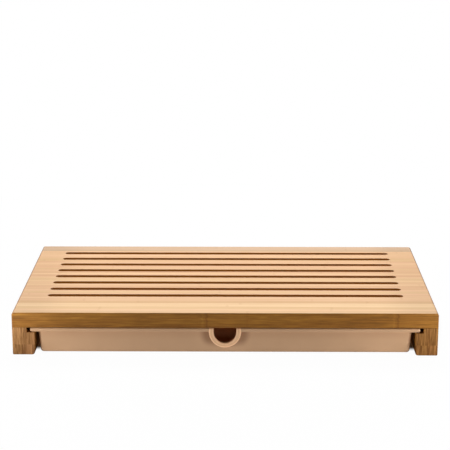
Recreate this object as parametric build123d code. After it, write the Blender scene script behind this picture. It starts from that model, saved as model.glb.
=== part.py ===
"""Bread board with a pull-out crumb tray.

A slotted bamboo panel stands on two side rails and a cross rail at the back. One moulded tray hangs by its
rim in rabbets cut along the side rails, and slides out at the front by a finger notch.

Millimetres. +X runs along the board, the front is at -Y, +Z is up, and the pads stand on z = 0.
"""

from build123d import *
import os
from math import cos, pi, radians, sin, sqrt, tan

# Board: the panel and the outline that the rails share
BOARD_LENGTH = 420.0
BOARD_DEPTH = 238.0
PANEL_THICKNESS = 15.6
END_EDGE_ROUNDING = 3.0
LONG_EDGE_ROUNDING = 0.8
CORNER_ROUNDING = 0.8

# Crumb slots, counted from the back edge, where the last one lies
SLOT_COUNT = 8
SLOT_PITCH = 22.0
SLOT_WIDTH = 7.5
SLOT_END_MARGIN = 29.1
REAR_SLOT_SETBACK = 28.4

# Side rails, each with a rabbet along its top inner edge
RAIL_WIDTH = 22.0
RAIL_HEIGHT = 28.2
RABBET_WIDTH = 7.7
RABBET_HEIGHT = 5.1
RAIL_INNER_ROUNDING = 2.8
RAIL_OUTER_ROUNDING = 1.2
LEDGE_EASING = 0.5

# Cross rail at the back, which lies on the ledges by a tongue at each end
BACK_RAIL_WIDTH = 18.0
BACK_RAIL_LIFT = 2.0
BACK_RAIL_EASING = 1.0

# Dowels
DOWEL_DIAMETER = 8.0
DOWEL_LENGTH = 30.0
DOWEL_IN_PANEL = 10.0
DOWEL_FIT = 0.05
DOWEL_GLUE_SPACE = 1.0
DOWEL_CHAMFER = 0.8
FLUTE_COUNT = 12
FLUTE_DEPTH = 0.45
SIDE_DOWEL_SETBACK = 34.0
BACK_DOWEL_SPACING = 200.0

# Anti-slip pads
PAD_DIAMETER = 12.0
PAD_RECESS = 2.0
PAD_PROUD = 1.0
PAD_FIT = 0.1
PAD_SETBACK = 24.0

# Tray: the rim
RIM_FRONT_SETBACK = 1.5
RIM_SIDE_CLEARANCE = 3.2
RIM_REAR_CLEARANCE = 0.5
RIM_SEAT_GAP = 0.1
RIM_HEIGHT = 4.0
RIM_PROUD = 1.8
RIM_CORNER_ROUNDING = 2.0
RIM_EDGE_ROUNDING = 1.3
FLANGE_THICKNESS = 1.8
SKIRT_THICKNESS = 1.8

# Tray: the tub under the rim
TUB_SIDE_CLEARANCE = 3.1
TUB_GROUND_CLEARANCE = 1.0
TUB_WALL = 2.2
TUB_FLOOR = 2.2
TUB_DRAFT = 5.0
TUB_CORNER_ROUNDING = 5.2
TUB_BOTTOM_ROUNDING = 2.6
FLOOR_CHAMFER = 1.0
MOUTH_CHAMFER = 0.5

# Tray: the finger notch and the raised collar round it
NOTCH_RADIUS = 11.2
NOTCH_DEPTH = 15.5
NOTCH_LIP_ROUNDING = 1.6
COLLAR_WIDTH = 4.7
COLLAR_BLEND = 1.5

# Levels and places that follow from the sizes above
HALF_LENGTH = BOARD_LENGTH / 2
FRONT = -BOARD_DEPTH / 2
BACK = BOARD_DEPTH / 2
RAIL_BOTTOM = PAD_PROUD
PANEL_BOTTOM = RAIL_BOTTOM + RAIL_HEIGHT
PANEL_TOP = PANEL_BOTTOM + PANEL_THICKNESS
LEDGE = PANEL_BOTTOM - RABBET_HEIGHT
RAIL_INNER_X = HALF_LENGTH - RAIL_WIDTH
RABBET_WALL_X = RAIL_INNER_X + RABBET_WIDTH
BACK_RAIL_FRONT = BACK - BACK_RAIL_WIDTH

RIM_BOTTOM = LEDGE + RIM_SEAT_GAP
RIM_TOP = RIM_BOTTOM + RIM_HEIGHT
RIM_HALF_LENGTH = RABBET_WALL_X - RIM_SIDE_CLEARANCE
RIM_FRONT = FRONT + RIM_FRONT_SETBACK
RIM_REAR = BACK_RAIL_FRONT - RIM_REAR_CLEARANCE
TUB_BOTTOM = RAIL_BOTTOM + TUB_GROUND_CLEARANCE
TUB_HALF_LENGTH = RAIL_INNER_X - TUB_SIDE_CLEARANCE
TUB_FRONT = RIM_FRONT + RIM_PROUD
TUB_REAR = RIM_REAR - RIM_PROUD
NOTCH_CENTRE_Z = RIM_TOP - NOTCH_DEPTH + NOTCH_RADIUS

DOWEL_BOTTOM = PANEL_BOTTOM + DOWEL_IN_PANEL - DOWEL_LENGTH
SIDE_DOWEL_X = (HALF_LENGTH + RABBET_WALL_X) / 2
SIDE_DOWEL_Y = {"front": FRONT + SIDE_DOWEL_SETBACK, "middle": 0.0, "rear": BACK - SIDE_DOWEL_SETBACK}
BACK_DOWEL_Y = (BACK_RAIL_FRONT + BACK) / 2
PAD_X = HALF_LENGTH - RAIL_WIDTH / 2
PAD_Y = {"front": FRONT + PAD_SETBACK, "rear": BACK - PAD_SETBACK}
SIDES = {"left": -1, "right": 1}


def upright(x, y, radius, bottom, top):
    """A round upright bar between two levels."""
    bar = Cylinder(radius, top - bottom, align=(Align.CENTER, Align.CENTER, Align.MIN))
    return Pos(x, y, bottom) * bar


def block(low, high):
    """A rectangular block between two corners."""
    return Pos(*low) * Box(*(b - a for a, b in zip(low, high)), align=Align.MIN)


def outline_of(points, rounding):
    """A closed outline, anticlockwise, with a radius at each corner that rounding names."""
    outline = make_face(Polyline(*points, close=True))
    for corner, radius in rounding.items():
        outline = fillet(outline.vertices().sort_by_distance((*corner, 0))[0], radius)
    return outline


def along_depth(outline, front, back):
    """An outline in X and Z, pushed along the board's depth."""
    return extrude(Plane.XZ.offset(-back) * outline, back - front)


def board_plan(bottom, top):
    """The board's own outline with its four rounded corners, which the panel and the rails share."""
    plan = RectangleRounded(BOARD_LENGTH, BOARD_DEPTH, CORNER_ROUNDING)
    return extrude(Pos(0, 0, bottom) * plan, top - bottom)


def dowel_places():
    """Where each dowel stands, by name."""
    places = {}
    for side, sign in SIDES.items():
        for place, y in SIDE_DOWEL_Y.items():
            places[f"dowel_{side}_{place}"] = (sign * SIDE_DOWEL_X, y)
        places[f"dowel_back_{side}"] = (sign * BACK_DOWEL_SPACING / 2, BACK_DOWEL_Y)
    return places


def dowel_holes():
    """Every dowel's hole, a little wider and longer than the dowel, to hold the glue."""
    bottom = DOWEL_BOTTOM - DOWEL_GLUE_SPACE
    top = PANEL_BOTTOM + DOWEL_IN_PANEL + DOWEL_GLUE_SPACE
    radius = DOWEL_DIAMETER / 2 + DOWEL_FIT
    return [upright(x, y, radius, bottom, top) for x, y in dowel_places().values()]


def fluted_outline():
    """A dowel's cross-section: flutes side by side, with their ridges on the full diameter."""
    ridge = DOWEL_DIAMETER / 2
    points = []
    for i in range(FLUTE_COUNT):
        for turn, radius in ((i, ridge), (i + 0.5, ridge - FLUTE_DEPTH)):
            angle = 2 * pi * turn / FLUTE_COUNT
            points.append((radius * cos(angle), radius * sin(angle)))
    return make_face(Polyline(*points, close=True))


def make_dowel(x, y):
    """A wooden dowel with straight flutes for the glue, chamfered at both ends."""
    dowel = extrude(Pos(x, y, DOWEL_BOTTOM) * fluted_outline(), DOWEL_LENGTH)
    for end in (0, -1):
        dowel = chamfer(dowel.edges().group_by(Axis.Z)[end], DOWEL_CHAMFER)
    return dowel


def make_slots():
    """The crumb slots, round at both ends and cut right through the panel."""
    length = BOARD_LENGTH - 2 * SLOT_END_MARGIN
    slot = extrude(Pos(0, 0, PANEL_BOTTOM) * SlotOverall(length, SLOT_WIDTH), PANEL_THICKNESS)
    last = BACK - REAR_SLOT_SETBACK
    return [Pos(0, last - i * SLOT_PITCH, 0) * slot for i in range(SLOT_COUNT)]


def make_top_board():
    """The panel: rounded along its short ends, eased along its long edges, slotted, and drilled below."""
    ends = [(-HALF_LENGTH, PANEL_TOP), (HALF_LENGTH, PANEL_TOP)]
    front_view = outline_of(
        [(-HALF_LENGTH, PANEL_BOTTOM), (HALF_LENGTH, PANEL_BOTTOM), *reversed(ends)],
        {end: END_EDGE_ROUNDING for end in ends},
    )
    edges = [(FRONT, PANEL_TOP), (BACK, PANEL_TOP)]
    side_view = outline_of(
        [(FRONT, PANEL_BOTTOM), (BACK, PANEL_BOTTOM), *reversed(edges)],
        {edge: LONG_EDGE_ROUNDING for edge in edges},
    )
    panel = board_plan(PANEL_BOTTOM, PANEL_TOP) & along_depth(front_view, FRONT, BACK)
    panel &= extrude(Plane.YZ * side_view, HALF_LENGTH, both=True)
    return panel - make_slots() - dowel_holes()


def make_right_rail():
    """A side rail: its rabbet carries the tray's rim, and its underside takes two pads."""
    section = outline_of(
        [
            (HALF_LENGTH, RAIL_BOTTOM),
            (HALF_LENGTH, PANEL_BOTTOM),
            (RABBET_WALL_X, PANEL_BOTTOM),
            (RABBET_WALL_X, LEDGE),
            (RAIL_INNER_X, LEDGE),
            (RAIL_INNER_X, RAIL_BOTTOM),
        ],
        {
            (HALF_LENGTH, RAIL_BOTTOM): RAIL_OUTER_ROUNDING,
            (RAIL_INNER_X, LEDGE): LEDGE_EASING,
            (RAIL_INNER_X, RAIL_BOTTOM): RAIL_INNER_ROUNDING,
        },
    )
    rail = along_depth(section, FRONT, BACK) & board_plan(RAIL_BOTTOM, PANEL_BOTTOM)
    for y in PAD_Y.values():
        rail -= upright(PAD_X, y, PAD_DIAMETER / 2 + PAD_FIT, RAIL_BOTTOM, RAIL_BOTTOM + PAD_RECESS)
    return rail - dowel_holes()


def make_back_rail():
    """The cross rail: it closes the back between the side rails and lies in their rabbets by two tongues."""
    bottom = RAIL_BOTTOM + BACK_RAIL_LIFT
    rail = block((-RAIL_INNER_X, BACK_RAIL_FRONT, bottom), (RAIL_INNER_X, BACK, PANEL_BOTTOM))
    rail = fillet(rail.edges().filter_by(Axis.X).group_by(Axis.Z)[0], BACK_RAIL_EASING)
    tongues = block((-RABBET_WALL_X, BACK_RAIL_FRONT, LEDGE), (RABBET_WALL_X, BACK, PANEL_BOTTOM))
    return rail + tongues - dowel_holes()


def make_pad(x, y):
    """An anti-slip pad, cut from rubber sheet, let into the rail and standing a little proud of it."""
    return upright(x, y, PAD_DIAMETER / 2, 0, PAD_PROUD + PAD_RECESS)


def tub_form(top, bottom, wall):
    """The tub's tapering form between two levels, smaller by wall all round."""
    spread = (top - RIM_BOTTOM) * tan(radians(TUB_DRAFT)) - wall
    length = 2 * (TUB_HALF_LENGTH + spread)
    depth = TUB_REAR - TUB_FRONT + 2 * spread
    outline = RectangleRounded(length, depth, TUB_CORNER_ROUNDING + spread)
    return extrude(Pos(0, (TUB_FRONT + TUB_REAR) / 2, top) * outline, bottom - top, taper=TUB_DRAFT)


def finger_u(radius):
    """A U about the notch's centre, in X and Z, open at the level of the rim's top."""
    left, right = (-radius, NOTCH_CENTRE_Z), (radius, NOTCH_CENTRE_Z)
    round_end = ThreePointArc(left, (0, NOTCH_CENTRE_Z - radius), right)
    sides = Polyline(right, (radius, RIM_TOP), (-radius, RIM_TOP), left)
    return make_face([round_end, *sides.edges()])


def collar_outline():
    """The collar in X and Z: a disc that hangs from the rim's band, with the finger notch cut out."""
    outer = NOTCH_RADIUS + COLLAR_WIDTH
    band_length = 2 * outer + 4 * COLLAR_BLEND
    outline = Pos(0, (RIM_BOTTOM + RIM_TOP) / 2) * Rectangle(band_length, RIM_HEIGHT)
    outline += Pos(0, NOTCH_CENTRE_Z) * Circle(outer)
    outline -= Pos(0, RIM_TOP + outer) * Rectangle(band_length, 2 * outer)
    outline -= finger_u(NOTCH_RADIUS)
    meeting = sqrt(outer**2 - (RIM_BOTTOM - NOTCH_CENTRE_Z) ** 2)
    for side in SIDES.values():
        lip = outline.vertices().sort_by_distance((side * NOTCH_RADIUS, RIM_TOP, 0))[0]
        outline = fillet(lip, NOTCH_LIP_ROUNDING)
        blend = outline.vertices().sort_by_distance((side * meeting, RIM_BOTTOM, 0))[0]
        outline = fillet(blend, COLLAR_BLEND)
    return outline


def edges_along(shape, wires):
    """The edges of a shape that lie on any of some wires."""
    return [edge for edge in shape.edges() if min(wire.distance_to(edge @ 0.5) for wire in wires) < 0.01]


def make_crumb_tray():
    """The moulded tray: a drafted tub under a rim with open flanges, and a collared finger notch in front."""
    rim_plan = RectangleRounded(2 * RIM_HALF_LENGTH, RIM_REAR - RIM_FRONT, RIM_CORNER_ROUNDING)
    rim_plan = Pos(0, (RIM_FRONT + RIM_REAR) / 2, RIM_BOTTOM) * rim_plan
    tray = extrude(rim_plan, RIM_HEIGHT)
    under = block(
        (TUB_HALF_LENGTH - TUB_WALL / 2, TUB_FRONT, RIM_BOTTOM),
        (RIM_HALF_LENGTH - SKIRT_THICKNESS, TUB_REAR, RIM_TOP - FLANGE_THICKNESS),
    )
    tray -= [under, mirror(under, Plane.YZ)]
    tub = tub_form(RIM_BOTTOM, TUB_BOTTOM, 0)
    tray += fillet(tub.edges().group_by(Axis.Z)[0], TUB_BOTTOM_ROUNDING)
    collar = collar_outline()
    tray += along_depth(collar, RIM_FRONT, TUB_FRONT + TUB_WALL)
    inside = tub_form(RIM_TOP, TUB_BOTTOM + TUB_FLOOR, TUB_WALL)
    mouth = inside.faces().sort_by(Axis.Z)[-1].wires()
    tray -= chamfer(inside.edges().group_by(Axis.Z)[0], FLOOR_CHAMFER)
    tray = chamfer(edges_along(tray, mouth), MOUTH_CHAMFER)
    notch = finger_u(NOTCH_RADIUS + COLLAR_WIDTH / 2) - collar
    tray -= along_depth(notch, RIM_FRONT, TUB_FRONT + 3 * TUB_WALL)
    rim_edges = [*rim_plan.wires(), *(Pos(0, 0, RIM_HEIGHT) * rim_plan).wires()]
    collar_edges = (Plane.XZ.offset(-RIM_FRONT) * collar).wires()
    return fillet(edges_along(tray, [*rim_edges, *collar_edges]), RIM_EDGE_ROUNDING)


right_rail = make_right_rail()
pieces = {
    "top_board": make_top_board(),
    "rail_left": mirror(right_rail, Plane.YZ),
    "rail_right": right_rail,
    "rail_back": make_back_rail(),
    "crumb_tray": make_crumb_tray(),
}
for name, (x, y) in dowel_places().items():
    pieces[name] = make_dowel(x, y)
for place, y in PAD_Y.items():
    for side, sign in SIDES.items():
        pieces[f"foot_{place}_{side}"] = make_pad(sign * PAD_X, y)

os.makedirs("parts", exist_ok=True)
for name, piece in pieces.items():
    export_step(piece, f"parts/{name}.step")
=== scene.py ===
"""Bread board with a pull-out crumb tray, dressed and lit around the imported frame. Metres, +Z up."""
import bpy
from math import radians
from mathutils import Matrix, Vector


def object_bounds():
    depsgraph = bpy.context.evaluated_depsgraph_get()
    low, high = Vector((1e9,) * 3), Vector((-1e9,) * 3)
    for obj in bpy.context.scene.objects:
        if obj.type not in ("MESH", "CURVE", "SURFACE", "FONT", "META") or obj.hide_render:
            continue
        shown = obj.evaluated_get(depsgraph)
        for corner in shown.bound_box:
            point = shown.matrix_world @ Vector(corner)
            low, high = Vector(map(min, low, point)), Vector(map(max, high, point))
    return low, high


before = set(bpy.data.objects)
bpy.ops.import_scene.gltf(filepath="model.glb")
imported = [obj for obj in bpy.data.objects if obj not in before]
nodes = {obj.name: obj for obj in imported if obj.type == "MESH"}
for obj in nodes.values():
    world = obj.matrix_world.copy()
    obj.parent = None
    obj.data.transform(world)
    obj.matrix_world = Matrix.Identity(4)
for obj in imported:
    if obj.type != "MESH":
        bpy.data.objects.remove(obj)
cad_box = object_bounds()


# ---- Top board -------------------------------------------------------------------------------------
# The working panel is glued up from bamboo strips that stand on edge and run its whole length, so its
# faces show narrow stripes, its front shows one strip's side, and its ends show every strip's end
# grain. Eight slots are routed through it, and all its edges are eased and oiled.

def add(tree, kind, inputs=None, **settings):
    """One shader node. settings are its properties, and inputs its sockets: each takes the output of
    another node or a plain value, which for a colour is its red, green and blue."""
    made = tree.nodes.new("ShaderNode" + kind)
    for name, value in settings.items():
        setattr(made, name, value)
    for name, value in (inputs or {}).items():
        socket = made.inputs[name]
        if isinstance(value, bpy.types.NodeSocket):
            tree.links.new(value, socket)
        elif socket.type == "RGBA":
            socket.default_value = (*value, 1)
        else:
            socket.default_value = value
    return made


def calc(tree, operation, *values):
    """The result of one Math node."""
    return add(tree, "Math", dict(enumerate(values)), operation=operation).outputs[0]


def product(tree, first, *others):
    """Values multiplied together, such as the masks of one patch."""
    for other in others:
        first = calc(tree, "MULTIPLY", first, other)
    return first


def opposite(tree, mask):
    """1 where a mask is 0, and 0 where it is 1."""
    return calc(tree, "SUBTRACT", 1.0, mask)


def distance(tree, value, middle):
    """How far a value lies from a middle, on either side of it."""
    return calc(tree, "ABSOLUTE", calc(tree, "SUBTRACT", value, middle))


def swing(tree, noise, width):
    """Noise that runs from 0 to 1, moved to swing about 0, and as wide as is wanted."""
    return calc(tree, "MULTIPLY", calc(tree, "SUBTRACT", noise, 0.5), width)


def blend(tree, value, none, full):
    """0 where a value has reached none, 1 where it has reached full, and smooth between."""
    inputs = {"Value": value, "From Min": none, "From Max": full}
    return add(tree, "MapRange", inputs, interpolation_type="SMOOTHSTEP").outputs[0]


def mix(tree, mask, under, over, kind="MIX"):
    """One colour laid over another as far as a mask lets it."""
    inputs = {0: mask, 6: under, 7: over}
    return add(tree, "Mix", inputs, data_type="RGBA", blend_type=kind).outputs[2]


def tinge(tree, colour, shade, *masks):
    """A colour multiplied by a shade, as far as all the masks let it."""
    return mix(tree, product(tree, *masks), colour, shade, "MULTIPLY")


def ramp(tree, factor, places, colours):
    """A ramp between two colours, each at its own place."""
    made = add(tree, "ValToRGB", {0: factor})
    for point, place, colour in zip(made.color_ramp.elements, places, colours):
        point.position = place
        point.color = (*colour, 1)
    return made.outputs[0]


def stretched_noise(tree, ways, frequencies, shift, detail=3.0):
    """Noise along three ways, each with its own number of waves in a millimetre."""
    scaled = [calc(tree, "MULTIPLY", way, each) for way, each in zip(ways, frequencies)]
    place = add(tree, "CombineXYZ", dict(enumerate(scaled))).outputs[0]
    moved = add(tree, "VectorMath", {0: place, 1: shift}, operation="ADD").outputs[0]
    inputs = {"Vector": moved, "Scale": 1.0, "Detail": detail, "Roughness": 0.6}
    return add(tree, "TexNoise", inputs).outputs[0]


def measure(tree):
    """Where a point of the piece lies, in millimetres, and which way its surface faces."""
    source = add(tree, "TexCoord").outputs
    inputs = {0: source["Object"], 1: (1000, 1000, 1000)}
    millimetres = add(tree, "VectorMath", inputs, operation="MULTIPLY").outputs[0]
    place = add(tree, "SeparateXYZ", {0: millimetres}).outputs
    facing = add(tree, "SeparateXYZ", {0: source["Normal"]}).outputs
    return place, facing


# how far a surface faces a way, from where a change of colour starts to where it is whole
FACES_UP, FACES_ENDWAYS, FACES_SIDEWAYS = (0.3, 0.9), (0.15, 0.65), (0.8, 0.3)

# strips: how uneven they are, and how far one layer's joints, or one strip's fibres, are from the next's
UNEVENNESS, LAYER_OFFSET, FIBRE_OFFSET = 0.35, 17.3, 90
RED_STRIP, YELLOW_STRIP = (1.0, 0.95, 0.95), (0.97, 1.0, 0.90)
GLUE_LINE, GLUE_SHADE = (0.05, 0.0), (0.50, 0.33, 0.20)

# waves in a millimetre along, across and up through a strip, and the tones that are darkest and palest
BROAD, STREAKS, HAIRS = (0.008, 0.25, 0.25), (0.012, 1.0, 1.0), (0.05, 4.5, 4.5)
FIBRE_TONES = (0.15, 0.85)
CUT_GRAIN, CUT_TONES = (0.01, 0.8, 0.05), (0.28, 0.72)

# the culm's nodes, in millimetres, and the bundles of fibres, seen end on
CULM_NODES_APART, CULM_NODE_WOBBLE = 230.0, 5.0
CULM_NODE, CULM_NODE_SHADE = (2.0, 0.3), (0.94, 0.9175, 0.895)
BUNDLES_PER_MM = 1.25
BUNDLE, BUNDLE_SHADE = (0.34, 0.12), (0.8075, 0.762, 0.727)


def bamboo(tree, place, facing, axes, strip, layer, base, face, side, cut):
    """Glued-up bamboo: its colour, and its relief. axes names the ways along, across and up through the
    strips; strip and layer are a strip's width and height, and base is a level where one layer ends, in
    mm; face, side and cut are the dark and pale colours of the top, of the sides and of the end grain.
    The top's paler colours and the sides' darker ones are partly the wood's own and partly painted light
    and shade."""
    ways = along, across, up = [place[axis] for axis in axes]
    end_on = blend(tree, calc(tree, "ABSOLUTE", facing[axes[0]]), *FACES_ENDWAYS)
    on_top = blend(tree, facing["Z"], *FACES_UP)

    # every strip is a cell of its own width, with its own tone and its own run of fibres
    row = calc(tree, "FLOOR", calc(tree, "DIVIDE", calc(tree, "SUBTRACT", up, base), layer))
    moved = calc(tree, "MULTIPLY", row, LAYER_OFFSET)
    count = calc(tree, "ADD", calc(tree, "DIVIDE", across, strip), moved)
    cell = {"W": count, "Scale": 1.0, "Randomness": UNEVENNESS}
    strips = add(tree, "TexVoronoi", cell, voronoi_dimensions="1D").outputs["Color"]
    edges = add(tree, "TexVoronoi", cell, voronoi_dimensions="1D", feature="DISTANCE_TO_EDGE")
    chance = add(tree, "SeparateColor", {0: strips}).outputs
    shift = add(tree, "VectorMath", {0: strips, 1: (FIBRE_OFFSET,) * 3}, operation="MULTIPLY").outputs[0]

    # fibres: broad shading, streaks and hairlines, all drawn out along the culm
    broad = stretched_noise(tree, ways, BROAD, shift)
    streaks = stretched_noise(tree, ways, STREAKS, shift, detail=4.0)
    hairs = stretched_noise(tree, ways, HAIRS, shift, detail=2.0)
    tone = swing(tree, chance[0], 0.5)
    for noise, width in ((broad, 0.8), (streaks, 0.9), (hairs, 0.5)):
        tone = calc(tree, "ADD", tone, swing(tree, noise, width))
    tone = calc(tree, "ADD", tone, 0.5)
    sides = ramp(tree, tone, FIBRE_TONES, side)
    tops = ramp(tree, tone, FIBRE_TONES, face)
    warmth = mix(tree, chance[1], RED_STRIP, YELLOW_STRIP)
    # partly painted light and shade: the top takes the paler colours and the sides the darker ones
    long_grain = tinge(tree, mix(tree, on_top, sides, tops), warmth, 1.0)

    # the culm's nodes: a faint dark ring at its own place on every strip
    started = calc(tree, "ADD", along, calc(tree, "MULTIPLY", chance[2], CULM_NODES_APART))
    run = calc(tree, "PINGPONG", started, CULM_NODES_APART / 2)
    run = calc(tree, "ADD", run, swing(tree, streaks, CULM_NODE_WOBBLE))
    long_grain = tinge(tree, long_grain, CULM_NODE_SHADE, blend(tree, run, *CULM_NODE))

    # end grain: a tone for each strip, and bundles of fibres as dark dots
    inputs = {"Vector": add(tree, "CombineXYZ", {0: across, 1: up}).outputs[0], "Scale": BUNDLES_PER_MM}
    bundles = add(tree, "TexVoronoi", inputs, voronoi_dimensions="2D").outputs["Distance"]
    grain = stretched_noise(tree, ways, CUT_GRAIN, shift)
    cut_tone = calc(tree, "ADD", swing(tree, chance[0], 0.25), grain)
    end_grain = ramp(tree, cut_tone, CUT_TONES, cut)
    end_grain = tinge(tree, end_grain, BUNDLE_SHADE, blend(tree, bundles, *BUNDLE))
    end_grain = tinge(tree, end_grain, warmth, 1.0)

    # glue lines between the strips, some fainter than others
    strength = calc(tree, "ADD", calc(tree, "MULTIPLY", chance[1], 0.35), 0.1)
    seam = product(tree, blend(tree, edges.outputs["Distance"], *GLUE_LINE), strength)
    colour = tinge(tree, mix(tree, end_on, long_grain, end_grain), GLUE_SHADE, seam)
    relief = calc(tree, "ADD", calc(tree, "MULTIPLY", hairs, 0.5), calc(tree, "MULTIPLY", seam, -0.6))
    return colour, relief


def new_material(name):
    """A new material, and its nodes."""
    material = bpy.data.materials.new(name)
    material.use_nodes = True
    return material, material.node_tree


def surface(tree, colour, roughness, gloss=0.5):
    """Sets a material's colour, and how rough and how glossy it is."""
    shader = tree.nodes["Principled BSDF"]
    tree.links.new(colour, shader.inputs["Base Color"])
    shader.inputs["Roughness"].default_value = roughness
    shader.inputs["Specular IOR Level"].default_value = gloss


def fine_relief(tree, height, strength, depth):
    """Gives a material a texture that the light catches. depth is in metres."""
    bump = add(tree, "Bump", {"Height": height, "Strength": strength, "Distance": depth})
    tree.links.new(bump.outputs[0], tree.nodes["Principled BSDF"].inputs["Normal"])


def oil(tree, colour, relief, gloss):
    """The satin of an oiled and sanded wooden surface."""
    surface(tree, colour, roughness=0.5, gloss=gloss)
    fine_relief(tree, relief, strength=0.25, depth=0.0002)


def finish(piece, material):
    """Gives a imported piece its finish."""
    piece.data.materials.clear()
    piece.data.materials.append(material)


def join(piece):
    """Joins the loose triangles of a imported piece."""
    piece.modifiers.new("Join", "WELD").merge_threshold = 0.00001


def shade_smooth(piece):
    """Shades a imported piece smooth, with its broad faces kept flat."""
    for polygon in piece.data.polygons:
        polygon.use_smooth = True
    piece.modifiers.new("Flat faces", "WEIGHTED_NORMAL").weight = 100


CREASE = radians(40)                        # a sharper fold than this is an edge
EASING = 0.0003                             # metres


def ease_edges(piece):
    """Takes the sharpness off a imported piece's edges."""
    join(piece)
    flats = piece.modifiers.new("Flats", "DECIMATE")
    flats.decimate_type = "DISSOLVE"
    flats.angle_limit = radians(0.5)
    eased = piece.modifiers.new("Eased", "BEVEL")
    eased.width = EASING
    eased.segments = 2
    eased.limit_method = "ANGLE"
    eased.angle_limit = CREASE
    eased.use_clamp_overlap = False
    shade_smooth(piece)


# dark and pale; the top is partly painted paler and the sides partly painted darker, as painted light and
# shade
TOP_BAMBOO_PAINTED_PALER = (0.745, 0.46, 0.225), (0.91, 0.615, 0.35)
SIDE_BAMBOO_PAINTED_DARKER = (0.20, 0.075, 0.014), (0.52, 0.25, 0.060)
CUT_BAMBOO = (0.15, 0.062, 0.021), (0.54, 0.28, 0.118)

PANEL_STRIP = 6.4                           # millimetres, as are all the places on the board
PANEL_LAYER, PANEL_BASE = 40.0, -15.0       # one layer, from the underside to the top
PANEL_GLOSS = 0.2
panel_bamboo, tree = new_material("panel bamboo")
place, facing = measure(tree)
colour, relief = bamboo(
    tree, place, facing, "XYZ", PANEL_STRIP, PANEL_LAYER, PANEL_BASE, TOP_BAMBOO_PAINTED_PALER, SIDE_BAMBOO_PAINTED_DARKER, CUT_BAMBOO
)
upward = blend(tree, facing["Z"], *FACES_UP)
from_middle_x = calc(tree, "ABSOLUTE", place["X"])
from_middle_y = calc(tree, "ABSOLUTE", place["Y"])

# the ends soak up more oil, and a darker line shows where two boards were joined
SOAKED_ENDS, SOAKED_SHADE = (150.0, 195.0), (0.874, 0.865, 0.847)
JOINT_Y, JOINT_LINE, JOINT_SHADE = -88.0, (0.45, 0.15), (0.825, 0.7655, 0.72)
colour = tinge(tree, colour, SOAKED_SHADE, blend(tree, from_middle_x, *SOAKED_ENDS), upward)
joint = blend(tree, distance(tree, place["Y"], JOINT_Y), *JOINT_LINE)
colour = tinge(tree, colour, JOINT_SHADE, joint, upward)

# the slats' strips are redder than the front ones, and the rearmost strips are greyer
REAR_Y = 99.0
REDDER, GREYER = (0.92, 0.855, 0.835), (0.80, 0.89, 1.06)
for first_y, shade in ((JOINT_Y, REDDER), (REAR_Y, GREYER)):
    colour = tinge(tree, colour, shade, calc(tree, "GREATER_THAN", place["Y"], first_y), upward)

# the front strip is paler at its left end, partly as its own wood and partly as painted light; it is
# flecked, and painted shade darkens its lower edge
FRONT_Y = -118.0
LEFT_END, LEFT_END_PALER_AND_PAINTED_LIGHT = (-150.0, -195.0), (1.31, 1.38, 1.75)
FLECKS, FLECK_SHADES = (0.06, 0.6, 0.8), ((0.80, 0.77, 0.70), (1.16, 1.16, 1.18))
LOWER_EDGE, LOWER_EDGE_PAINTED_SHADE = (31.2, 29.4), (0.80, 0.76, 0.70)
on_front = product(tree, calc(tree, "LESS_THAN", place["Y"], FRONT_Y), opposite(tree, upward))
# partly painted light: the left end of the front is paler
colour = tinge(tree, colour, LEFT_END_PALER_AND_PAINTED_LIGHT, on_front, blend(tree, place["X"], *LEFT_END))
ways = [place[axis] for axis in "XYZ"]
fleck = blend(tree, stretched_noise(tree, ways, FLECKS, (7.0, 3.0, 5.0)), 0.3, 0.7)
colour = tinge(tree, colour, mix(tree, fleck, *FLECK_SHADES), on_front)
# painted shade along the front's lower edge
colour = tinge(tree, colour, LOWER_EDGE_PAINTED_SHADE, on_front, blend(tree, place["Z"], *LOWER_EDGE))

# it is two lengths of culm end to end, the right one a little more olive
RIGHT_LENGTH = (-17.2, -16.8)
LENGTH_SHADES = (0.95, 0.94, 0.53), (0.98, 0.96, 0.53)
right_length = blend(tree, place["X"], *RIGHT_LENGTH)
colour = tinge(tree, colour, mix(tree, right_length, *LENGTH_SHADES), on_front)

# each length has a node in view: a dark, wavering line across it, and a pale ridge to its left
FRONT_CULM_NODES = (-18.0, 170.0)
LINE = (0.0, (1.5, 0.4), (0.79, 0.73, 0.69))
RIDGE = (-4.0, (1.6, 0.4), (1.15, 1.18, 1.30))
WAVER = 2.4
waver = add(tree, "TexNoise", {"W": place["Z"], "Scale": 0.35, "Detail": 1.0}, noise_dimensions="1D")
waver = swing(tree, waver.outputs[0], WAVER)
for node_x in FRONT_CULM_NODES:
    apart = calc(tree, "ADD", calc(tree, "SUBTRACT", place["X"], node_x), waver)
    for offset, width, shade in (LINE, RIDGE):
        there = blend(tree, distance(tree, apart, offset), *width)
        colour = tinge(tree, colour, shade, there, on_front)

# painted light and shade: the slots' walls are painted one flat orange-brown that stands in for how light
# falls inside the slots
SLOTTED_X, SLOTTED_Y = 205.0, 118.0
SLOT_WALL_PAINTED_SHADING, SLOT_WALL_SHADING_SHARE = (0.60, 0.305, 0.078), 0.85
upright = blend(tree, calc(tree, "ABSOLUTE", facing["Z"]), *FACES_SIDEWAYS)
inside_x = calc(tree, "LESS_THAN", from_middle_x, SLOTTED_X)
inside_y = calc(tree, "LESS_THAN", from_middle_y, SLOTTED_Y)
# painted shading on the slots' walls
colour = mix(tree, product(tree, upright, inside_x, inside_y, SLOT_WALL_SHADING_SHARE), colour, SLOT_WALL_PAINTED_SHADING)
oil(tree, colour, relief, PANEL_GLOSS)
finish(nodes["top_board"], panel_bamboo)
ease_edges(nodes["top_board"])


# ---- Rails -----------------------------------------------------------------------------------------
# Two side rails carry the board. Each is glued up in two layers from bamboo strips that run from front
# to back, so its front shows end grain, and the right one comes from a yellower culm. The cross rail
# behind them lies along the board.

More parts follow.
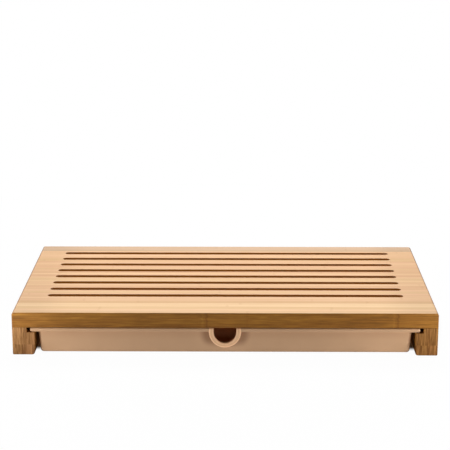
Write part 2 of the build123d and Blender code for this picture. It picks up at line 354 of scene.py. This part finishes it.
RAIL_STRIP, RAIL_LAYER, RAIL_JOINT = 5.0, 17.7, 11.5        # millimetres
RAIL_COLOURS = SIDE_BAMBOO_PAINTED_DARKER, SIDE_BAMBOO_PAINTED_DARKER, CUT_BAMBOO
YELLOWER = (0.91, 0.86, 0.66)
RAIL_GLOSS = 0.05

rail_bamboo, tree = new_material("rail bamboo")
place, facing = measure(tree)
colour, relief = bamboo(tree, place, facing, "YXZ", RAIL_STRIP, RAIL_LAYER, RAIL_JOINT, *RAIL_COLOURS)
right_hand = calc(tree, "GREATER_THAN", place["X"], 0.0)
oil(tree, tinge(tree, colour, YELLOWER, right_hand), relief, RAIL_GLOSS)

cross_rail_bamboo, tree = new_material("cross rail bamboo")
place, facing = measure(tree)
colour, relief = bamboo(tree, place, facing, "XYZ", RAIL_STRIP, RAIL_LAYER, RAIL_JOINT, *RAIL_COLOURS)
oil(tree, colour, relief, RAIL_GLOSS)

for name, material in (
    ("rail_left", rail_bamboo),
    ("rail_right", rail_bamboo),
    ("rail_back", cross_rail_bamboo),
):
    finish(nodes[name], material)
    ease_edges(nodes[name])


# ---- Dowels ----------------------------------------------------------------------------------------
# Fluted beech pegs, glued blind between the rails and the panel, so none of them shows.

BEECH = (0.46, 0.28, 0.14), (0.62, 0.42, 0.24)
BEECH_GRAIN = (900, 900, 60)                # waves in a metre across and along a peg

dowel_wood, tree = new_material("dowel wood")
inputs = {"Vector": add(tree, "TexCoord").outputs["Object"], "Scale": BEECH_GRAIN}
inputs = {"Vector": add(tree, "Mapping", inputs).outputs[0], "Scale": 1.0, "Detail": 3.0}
grain = add(tree, "TexNoise", inputs).outputs[0]
surface(tree, ramp(tree, grain, (0.3, 0.7), BEECH), roughness=0.7)
for name in nodes:
    if name.startswith("dowel_"):
        finish(nodes[name], dowel_wood)


# ---- Crumb tray ------------------------------------------------------------------------------------
# One injection-moulded tray in warm beige plastic with a fine matt texture. Its rim runs in the side
# rails' rabbets, and the finger notch in its front has a raised collar.

BEIGE = (0.555, 0.335, 0.185), (0.585, 0.355, 0.198)
CLOUDS, SPARKS = 35.0, 2500.0               # in a metre

tray_plastic, tree = new_material("tray plastic")
spot = add(tree, "TexCoord").outputs["Object"]
cloud = add(tree, "TexNoise", {"Vector": spot, "Scale": CLOUDS, "Detail": 3.0}).outputs[0]
beige = ramp(tree, cloud, (0.3, 0.7), BEIGE)
place, facing = measure(tree)

# painted light: the collar is painted paler than the wall, and palest on the beads along both its edges,
# as painted highlights
NOTCH_CENTRE = (0.0, 0.0, 23.9)             # millimetres, as are all the places on the tray
COLLAR_RADIUS, COLLAR_MIDDLE, COLLAR_Y = 16.0, 13.5, -115.9
COLLAR_PAINTED_LIGHT = (1.42, 1.38, 1.34)
BEADS, BEAD_PAINTED_HIGHLIGHT = (0.6, 1.4), (1.21, 1.27, 1.34)
flat = add(tree, "CombineXYZ", {0: place["X"], 2: place["Z"]}).outputs[0]
apart = add(tree, "VectorMath", {0: flat, 1: NOTCH_CENTRE}, operation="DISTANCE").outputs["Value"]
near = calc(tree, "LESS_THAN", apart, COLLAR_RADIUS)
collar = product(tree, near, calc(tree, "LESS_THAN", place["Y"], COLLAR_Y))
beads = blend(tree, distance(tree, apart, COLLAR_MIDDLE), *BEADS)
beige = tinge(tree, beige, COLLAR_PAINTED_LIGHT, collar)
beige = tinge(tree, beige, BEAD_PAINTED_HIGHLIGHT, collar, beads)

# painted shade: the walls are darker just under the rim, and a painted shadow darkens the front wall on
# both sides of the collar
RIM_UNDERSIDE = 24.7
UNDER_RIM, UNDER_RIM_PAINTED_SHADE = (15.0, 23.0), (0.92, 0.88, 0.85)
FRONT_WALL_Y = -110.0
BESIDE_COLLAR, FADES_DOWN, BESIDE_COLLAR_PAINTED_SHADOW = (27.0, 19.0), (6.0, 16.0), (0.63, 0.54, 0.47)
walls = product(tree, calc(tree, "LESS_THAN", place["Z"], RIM_UNDERSIDE), opposite(tree, collar))
front_wall = product(tree, walls, calc(tree, "LESS_THAN", place["Y"], FRONT_WALL_Y))
collar_shadow = product(tree, blend(tree, apart, *BESIDE_COLLAR), blend(tree, place["Z"], *FADES_DOWN))
beige = tinge(tree, beige, BESIDE_COLLAR_PAINTED_SHADOW, collar_shadow, front_wall)
beige = tinge(tree, beige, UNDER_RIM_PAINTED_SHADE, blend(tree, place["Z"], *UNDER_RIM), walls)

# painted shade: the inside is painted a deeper, darker red for the deep shade it lies in: every wall that
# faces the middle, and the tray's floor
FACES_IN, FACES_UPWARDS, ABOVE_FLOOR_Z = -1.0, 0.5, 10.0
INSIDE_PAINTED_SHADE = (0.93, 0.62, 0.52)
outward_x = calc(tree, "MULTIPLY", place["X"], facing["X"])
outward_y = calc(tree, "MULTIPLY", place["Y"], facing["Y"])
inner_walls = calc(tree, "LESS_THAN", calc(tree, "ADD", outward_x, outward_y), FACES_IN)
upwards = calc(tree, "GREATER_THAN", facing["Z"], FACES_UPWARDS)
inner_floor = product(tree, upwards, calc(tree, "LESS_THAN", place["Z"], ABOVE_FLOOR_Z))
beige = tinge(tree, beige, INSIDE_PAINTED_SHADE, calc(tree, "MAXIMUM", inner_walls, inner_floor))

spark = add(tree, "TexNoise", {"Vector": spot, "Scale": SPARKS, "Detail": 1.0}).outputs[0]
fine_relief(tree, spark, strength=0.15, depth=0.0001)
surface(tree, beige, roughness=0.42, gloss=0.4)

tray = nodes["crumb_tray"]
finish(tray, tray_plastic)
join(tray)
tray.modifiers.new("Crisp edges", "EDGE_SPLIT").split_angle = CREASE
shade_smooth(tray)


# ---- Pads ------------------------------------------------------------------------------------------
# Four discs cut from grey anti-slip rubber sheet, pressed into the undersides of the side rails.

RUBBER = (0.20, 0.19, 0.17), (0.27, 0.25, 0.23)
SPECKLES = 1500.0                           # in a metre

pad_rubber, tree = new_material("pad rubber")
inputs = {"Vector": add(tree, "TexCoord").outputs["Object"], "Scale": SPECKLES, "Detail": 2.0}
speckle = add(tree, "TexNoise", inputs).outputs[0]
surface(tree, ramp(tree, speckle, (0.35, 0.65), RUBBER), roughness=0.85)
fine_relief(tree, speckle, strength=0.3, depth=0.0001)
for name in nodes:
    if name.startswith("foot_"):
        finish(nodes[name], pad_rubber)
        ease_edges(nodes[name])


# ---- Floor and light -------------------------------------------------------------------------------
# A plain white table in a white room. What shows of the table is white, with a trace of the board's
# shadow, and dark deep under the board, where it gives back a little light. A large overhead softbox
# lights the top. Weaker ones fill in from the ceiling and the front, a card lights each end of the
# front, and two small ones stand for the light that the table throws back at the tray and its notch.

def seen(tree):
    """1 for the rays that show a surface: from the camera, in a gloss and through a clear thing."""
    rays = add(tree, "LightPath").outputs
    direct = calc(tree, "MAXIMUM", rays["Is Camera Ray"], rays["Is Glossy Ray"])
    return calc(tree, "MAXIMUM", direct, rays["Is Transmission Ray"])


# the floor's size and the distances on it, in metres
FLOOR_SIZE = 12.0
NEAR, FAR, NEAR_WHITE = 0.26, 0.6, 0.98
OPEN_FLOOR = (-0.014, 0.002)                # from under the board's edge to beyond it
DEEP_FRONT, DEEP_REAR, DEEP_SIDE = (-0.104, -0.092), 0.112, 0.199
MATT_WHITE, LIGHT_GIVEN_BACK = (0.80, 0.80, 0.80), 0.20

bpy.ops.mesh.primitive_plane_add(size=FLOOR_SIZE, location=(0, 0, 0))
floor = bpy.context.object
floor.name = "floor"
white_table, tree = new_material("white table")
tree.nodes.remove(tree.nodes["Principled BSDF"])
matt = add(tree, "BsdfDiffuse", {"Color": MATT_WHITE}).outputs[0]
glow = add(tree, "Emission", {"Color": (1, 1, 1), "Strength": 1.0}).outputs[0]
rays = add(tree, "LightPath").outputs
spot = add(tree, "TexCoord").outputs["Object"]

# the white is a touch less bright near the board
away = add(tree, "VectorMath", {0: spot}, operation="LENGTH").outputs["Value"]
inputs = {"Value": away, "From Min": NEAR, "From Max": FAR, "To Min": NEAR_WHITE, "To Max": 1.0}
white = add(tree, "MapRange", inputs).outputs[0]

# how far a point is beyond the board's outline, and whether it is deep under the board
corner = add(tree, "VectorMath", {0: spot}, operation="ABSOLUTE").outputs[0]
beyond = add(tree, "VectorMath", {0: corner, 1: cad_box[1]}, operation="SUBTRACT").outputs[0]
beyond = add(tree, "SeparateXYZ", {0: beyond}).outputs
beyond = calc(tree, "MAXIMUM", beyond["X"], beyond["Y"])
place = add(tree, "SeparateXYZ", {0: spot}).outputs
deep = product(
    tree,
    blend(tree, place["Y"], *DEEP_FRONT),
    calc(tree, "LESS_THAN", place["Y"], DEEP_REAR),
    calc(tree, "LESS_THAN", calc(tree, "ABSOLUTE", place["X"]), DEEP_SIDE),
)

# the camera sees the table white, except deep under the board; a gloss or a clear thing sees it white
# only beyond the board's outline
direct = product(tree, rays["Is Camera Ray"], opposite(tree, deep))
share = calc(tree, "MAXIMUM", direct, blend(tree, beyond, *OPEN_FLOOR))
share = product(tree, seen(tree), share, white)
bounce = product(tree, rays["Is Diffuse Ray"], deep, LIGHT_GIVEN_BACK)
share = calc(tree, "MAXIMUM", share, bounce)
shown = add(tree, "MixShader", {0: share, 1: matt, 2: glow}).outputs[0]
tree.links.new(shown, tree.nodes["Material Output"].inputs["Surface"])
floor.data.materials.append(white_table)

AMBIENT = 0.04
world = bpy.data.worlds.new("white room")
bpy.context.scene.world = world
world.use_nodes = True
tree = world.node_tree
strength = add(tree, "MapRange", {"Value": seen(tree), "To Min": AMBIENT, "To Max": 1.0}).outputs[0]
tree.links.new(strength, tree.nodes["Background"].inputs["Strength"])
tree.nodes["Background"].inputs["Color"].default_value = (1, 1, 1, 1)


def softbox(name, place, aim, size, power):
    """A rectangular white area lamp at a place, aimed at a point."""
    lamp = bpy.data.lights.new(name, "AREA")
    lamp.shape = "RECTANGLE"
    lamp.size, lamp.size_y = size
    lamp.energy = power
    holder = bpy.data.objects.new(name, lamp)
    bpy.context.scene.collection.objects.link(holder)
    holder.location = place
    holder.rotation_euler = (Vector(place) - Vector(aim)).to_track_quat("Z", "Y").to_euler()
    holder.visible_camera = False


# each has its place, aim and size in metres, and its power in watts
softbox("overhead", (0, 1.1, 1.5), (0, 0, 0), (1.6, 0.7), 43.0)
softbox("ceiling", (0, 0, 1.5), (0, 0, 0), (1.6, 1.4), 4.0)
softbox("front", (0, -1.3, 0.7), (0, -0.12, 0.02), (1.6, 0.5), 0.2)
softbox("left card", (-0.36, -0.26, 0.026), (0, -0.13, 0.02), (0.12, 0.04), 0.52)
softbox("right card", (0.36, -0.26, 0.026), (0, -0.13, 0.02), (0.12, 0.04), 0.53)
softbox("table bounce", (0, -0.126, 0.001), (0, -0.117, 0.011), (0.34, 0.004), 0.0045)
softbox("notch bounce", (0, -0.150, 0.0015), (0, -0.117, 0.018), (0.03, 0.01), 0.0014)


# ---- Camera ----------------------------------------------------------------------------------------
# Straight in front, a little above the board, with a long lens.

LENS = 113.45                               # millimetres
CAMERA_PLACE = (0.0108, -1.4403, 0.4886)
CAMERA_PITCH, CAMERA_TURN = 15.015, 0.466   # degrees, down and to the left
lens = bpy.data.cameras.new("camera")
lens.lens = LENS
camera = bpy.data.objects.new("camera", lens)
bpy.context.scene.collection.objects.link(camera)
camera.location = CAMERA_PLACE
camera.rotation_euler = (radians(90 - CAMERA_PITCH), 0, radians(CAMERA_TURN))
bpy.context.scene.camera = camera
bpy.context.scene.view_settings.view_transform = "Standard"
